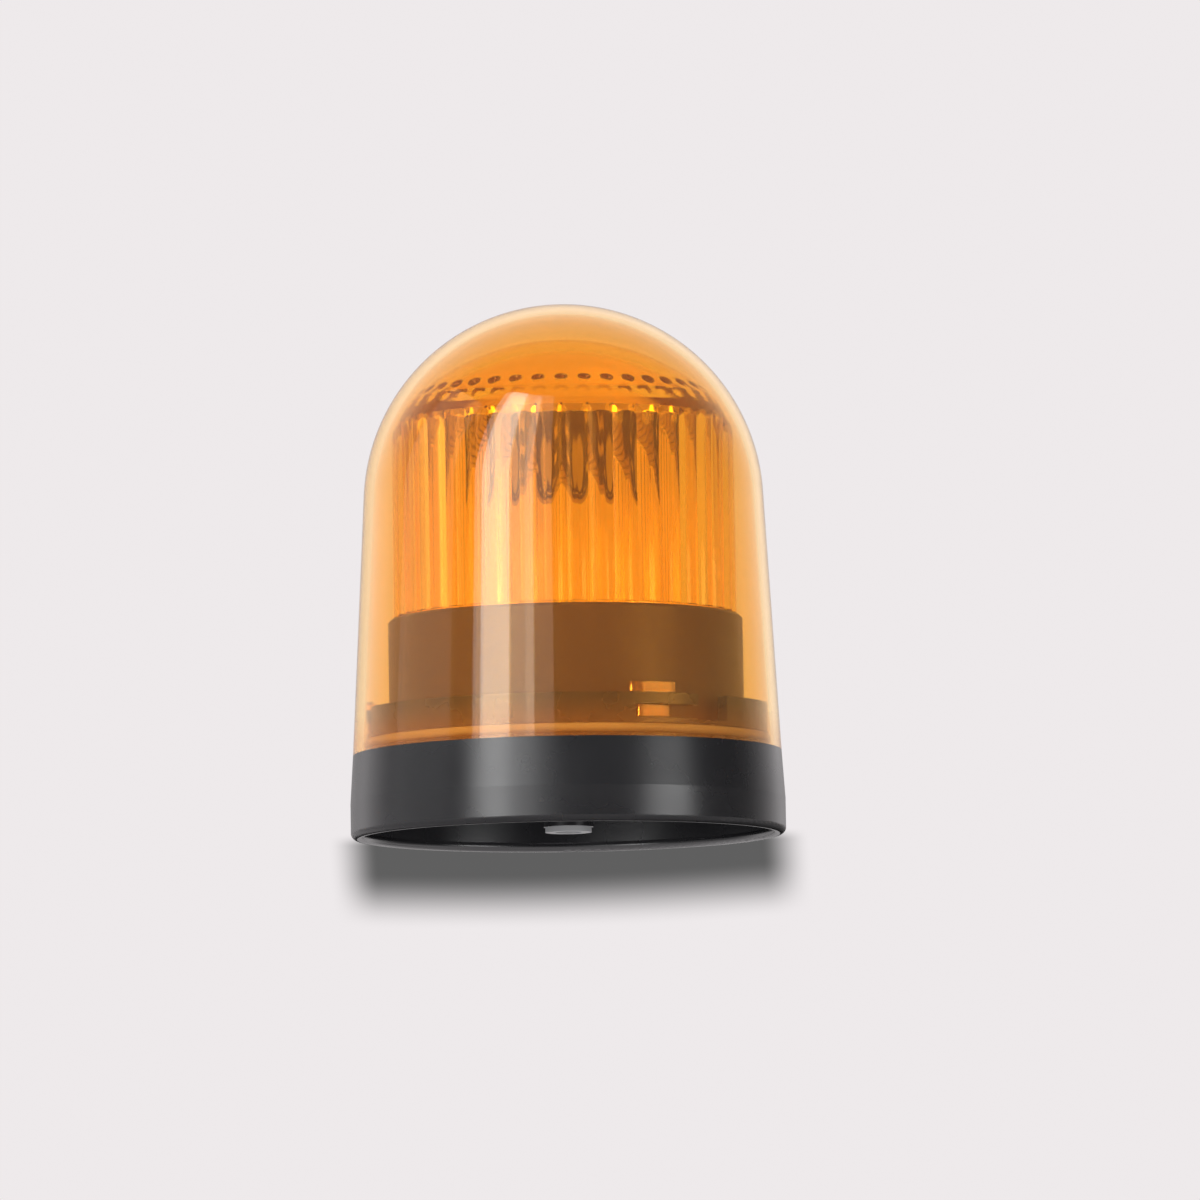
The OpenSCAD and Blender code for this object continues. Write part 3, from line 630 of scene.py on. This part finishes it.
class BEACON_OT_stage(bpy.types.Operator):
    """Sets the camera, the world, the lights and the floor"""
    bl_idname = "beacon.stage"
    bl_label = "Stage"

    def execute(self, context):
        scene = context.scene
        stage = scene.beacon_stage
        scene.view_settings.view_transform = "Standard"
        scene.cycles.max_bounces = 24
        scene.cycles.transmission_bounces = 24
        scene.cycles.transparent_max_bounces = 24
        scene.cycles.glossy_bounces = 8
        self.make_camera(scene, stage)
        self.make_world(scene, stage)
        for name, azimuth, distance, low, high, width, share, setting in LAMPS:
            self.make_lamp(name, radians(azimuth), distance, low, high, width,
                           share * getattr(stage, setting))
        self.make_floor(stage)
        return {"FINISHED"}

    def make_camera(self, scene, stage):
        """The camera, in front of the beacon and below the floor, looking up a little"""
        data = bpy.data.cameras.new("camera")
        data.sensor_width = 36
        data.lens = stage.lens
        data.clip_end = 50
        camera = bpy.data.objects.new("camera", data)
        bpy.context.collection.objects.link(camera)
        camera.location = (stage.camera_x, -stage.camera_y, stage.camera_z)
        aim = Vector((stage.camera_x, 0, stage.aim_z)) - camera.location
        looking = aim.to_track_quat("-Z", "Y").to_matrix() @ Matrix.Rotation(-stage.roll, 3, "Z")
        camera.rotation_euler = looking.to_euler()
        scene.camera = camera

    def make_world(self, scene, stage):
        """Even light from all round, with a background of its own for each kind of ray"""
        world = bpy.data.worlds.new("studio")
        scene.world = world
        world.use_nodes = True
        tree = world.node_tree
        tree.nodes.clear()

        def background(tone, strength=1.0):
            return add_node(tree, "ShaderNodeBackground",
                            {"Color": (*tone, 1), "Strength": strength})

        place = tree.nodes.new("ShaderNodeTexCoord")
        split = tree.nodes.new("ShaderNodeSeparateXYZ")
        towards = add_node(tree, "ShaderNodeVectorMath", {1: MIRROR_MIDDLE},
                           operation="DOT_PRODUCT")
        greys = tree.nodes.new("ShaderNodeValToRGB")
        marks = greys.color_ramp.elements
        marks[0].position, marks[1].position = MIRROR_GREYS[0][0], MIRROR_GREYS[-1][0]
        for position, _ in MIRROR_GREYS[1:-1]:
            marks.new(position)
        for mark, (_, grey) in zip(marks, MIRROR_GREYS):
            mark.color = (grey, grey, grey, 1)
        tree.links.new(place.outputs["Generated"], split.inputs["Vector"])
        tree.links.new(place.outputs["Generated"], towards.inputs[0])
        tree.links.new(towards.outputs["Value"], greys.inputs["Fac"])
        above = calculate(tree, "MULTIPLY", greys.outputs["Color"], MIRROR_LEVEL)
        below = mapped(tree, split.outputs["Z"], BELOW_HEIGHTS, (0.0, BELOW_LEVEL))

        mirrored = background(stage.backdrop)
        tree.links.new(calculate(tree, "MAXIMUM", above, below), mirrored.inputs["Strength"])
        rays = tree.nodes.new("ShaderNodeLightPath")
        picked = background((1, 1, 1), stage.ambient).outputs["Background"]
        for kind, shown in (("Is Glossy Ray", mirrored),
                            ("Is Transmission Ray", background((1, 1, 1))),
                            ("Is Camera Ray", background(stage.backdrop))):
            picked = mixed(tree, rays.outputs[kind], picked, shown.outputs["Background"])
        output = tree.nodes.new("ShaderNodeOutputWorld")
        tree.links.new(picked, output.inputs["Surface"])

    def make_lamp(self, name, azimuth, distance, low, high, width, radiance):
        """A tall upright area light round the object; azimuth 0 is the camera's side"""
        data = bpy.data.lights.new(name, "AREA")
        data.shape = "RECTANGLE"
        data.size = width
        data.size_y = high - low
        data.energy = radiance * pi * width * (high - low)
        lamp = bpy.data.objects.new(name, data)
        bpy.context.collection.objects.link(lamp)
        lamp.location = (distance * sin(azimuth), -distance * cos(azimuth), (low + high) / 2)
        towards = Vector((-lamp.location.x, -lamp.location.y, 0))
        lamp.rotation_euler = towards.to_track_quat("-Z", "Y").to_euler()
        lamp.visible_camera = False

    def make_floor(self, stage):
        """A wide pale floor with an opening under the base, clear from below but for the shade"""
        count = 96
        radii = (BASE_BOX[1].x - FLOOR_TUCK, *FLOOR_RADII)
        points = [(r * cos(2 * pi * i / count), r * sin(2 * pi * i / count), 0)
                  for r in radii for i in range(count)]
        faces = [(k * count + i, (k + 1) * count + i, (k + 1) * count + (i + 1) % count,
                  k * count + (i + 1) % count) for k in range(len(radii) - 1) for i in range(count)]
        floor = skin("floor", points, faces, smooth=False)
        material, tree, shader, output = new_material("floor_pale")
        shader.inputs["Base Color"].default_value = (*stage.backdrop, 1)
        shader.inputs["Roughness"].default_value = 0.9
        shader.inputs["Specular IOR Level"].default_value = 0.1
        side = tree.nodes.new("ShaderNodeNewGeometry")
        clear = tree.nodes.new("ShaderNodeBsdfTransparent")
        place = tree.nodes.new("ShaderNodeTexCoord")
        shade = self.floor_shade(tree, place, stage.camera_y)
        tree.links.new(blended(tree, shade, (1, 1, 1, 1), SHADE_TONE), clear.inputs["Color"])
        # The floor fades into the background before it passes the lamps
        away = add_node(tree, "ShaderNodeVectorMath", operation="LENGTH")
        tree.links.new(place.outputs["Object"], away.inputs[0])
        faded = mapped(tree, away.outputs["Value"], FLOOR_FADE)
        open_part = calculate(tree, "MAXIMUM", side.outputs["Backfacing"], faded)
        whole = mixed(tree, open_part, shader.outputs["BSDF"], clear.outputs["BSDF"])
        tree.links.new(whole, output.inputs["Surface"])
        floor.data.materials.append(material)

    def floor_shade(self, tree, place, camera_y):
        """Mask of the soft shade that lies behind the base"""
        split = tree.nodes.new("ShaderNodeSeparateXYZ")
        tree.links.new(place.outputs["Object"], split.inputs["Vector"])
        back = split.outputs["Y"]
        # It widens with the distance, so that its sides run straight down in the picture
        widen = calculate(tree, "MULTIPLY_ADD", back, 1 / camera_y, 1.0)
        narrow = calculate(tree, "DIVIDE", split.outputs["X"], widen)
        # Its far end curves round, and lies nearer on the right
        bend = calculate(tree, "MULTIPLY_ADD", narrow, SHADE_CURVE, SHADE_LEAN)
        lean = calculate(tree, "MULTIPLY_ADD", bend, narrow, back)
        across = calculate(tree, "ABSOLUTE", narrow)
        sides = mapped(tree, across, SHADE_SIDES, (1.0, 0.0))
        far_end = mapped(tree, lean, SHADE_FAR_END, (1.0, 0.0))
        near_end = mapped(tree, back, SHADE_NEAR_END, (1.0, 0.0))
        return calculate(tree, "MULTIPLY", calculate(tree, "MULTIPLY", sides, far_end), near_end)


class BEACON_PT_panel(bpy.types.Panel):
    """Lists the beacon's settings and pieces"""
    bl_idname = "BEACON_PT_panel"
    bl_label = "Dome Signal Beacon"
    bl_space_type = "VIEW_3D"
    bl_region_type = "UI"
    bl_category = "Beacon"

    def draw(self, context):
        layout = self.layout
        for settings in (context.scene.beacon_dome, context.scene.beacon_lens,
                         context.scene.beacon_colours, context.scene.beacon_stage):
            box = layout.box()
            for name in settings.bl_rna.properties.keys():
                if name not in ("rna_type", "name"):
                    box.prop(settings, name)
        for piece in PIECES:
            layout.operator(piece.bl_idname)


PIECES = (BEACON_OT_stage, BEACON_OT_dome, BEACON_OT_inner_lens, BEACON_OT_reflector,
          BEACON_OT_drum, BEACON_OT_led_unit, BEACON_OT_driver, BEACON_OT_base)
SETTINGS = {"beacon_dome": BeaconDomeSizes, "beacon_lens": BeaconLensSizes,
            "beacon_colours": BeaconColours, "beacon_stage": BeaconStage}


def register():
    for piece in (*SETTINGS.values(), *PIECES, BEACON_PT_panel):
        bpy.utils.register_class(piece)
    for name, group in SETTINGS.items():
        setattr(bpy.types.Scene, name, PointerProperty(type=group))


def unregister():
    for name in SETTINGS:
        delattr(bpy.types.Scene, name)
    for piece in reversed((*SETTINGS.values(), *PIECES, BEACON_PT_panel)):
        bpy.utils.unregister_class(piece)


def main():
    register()
    for piece in PIECES:
        group, name = piece.bl_idname.split(".")
        getattr(getattr(bpy.ops, group), name)()


if __name__ == "__main__":
    main()
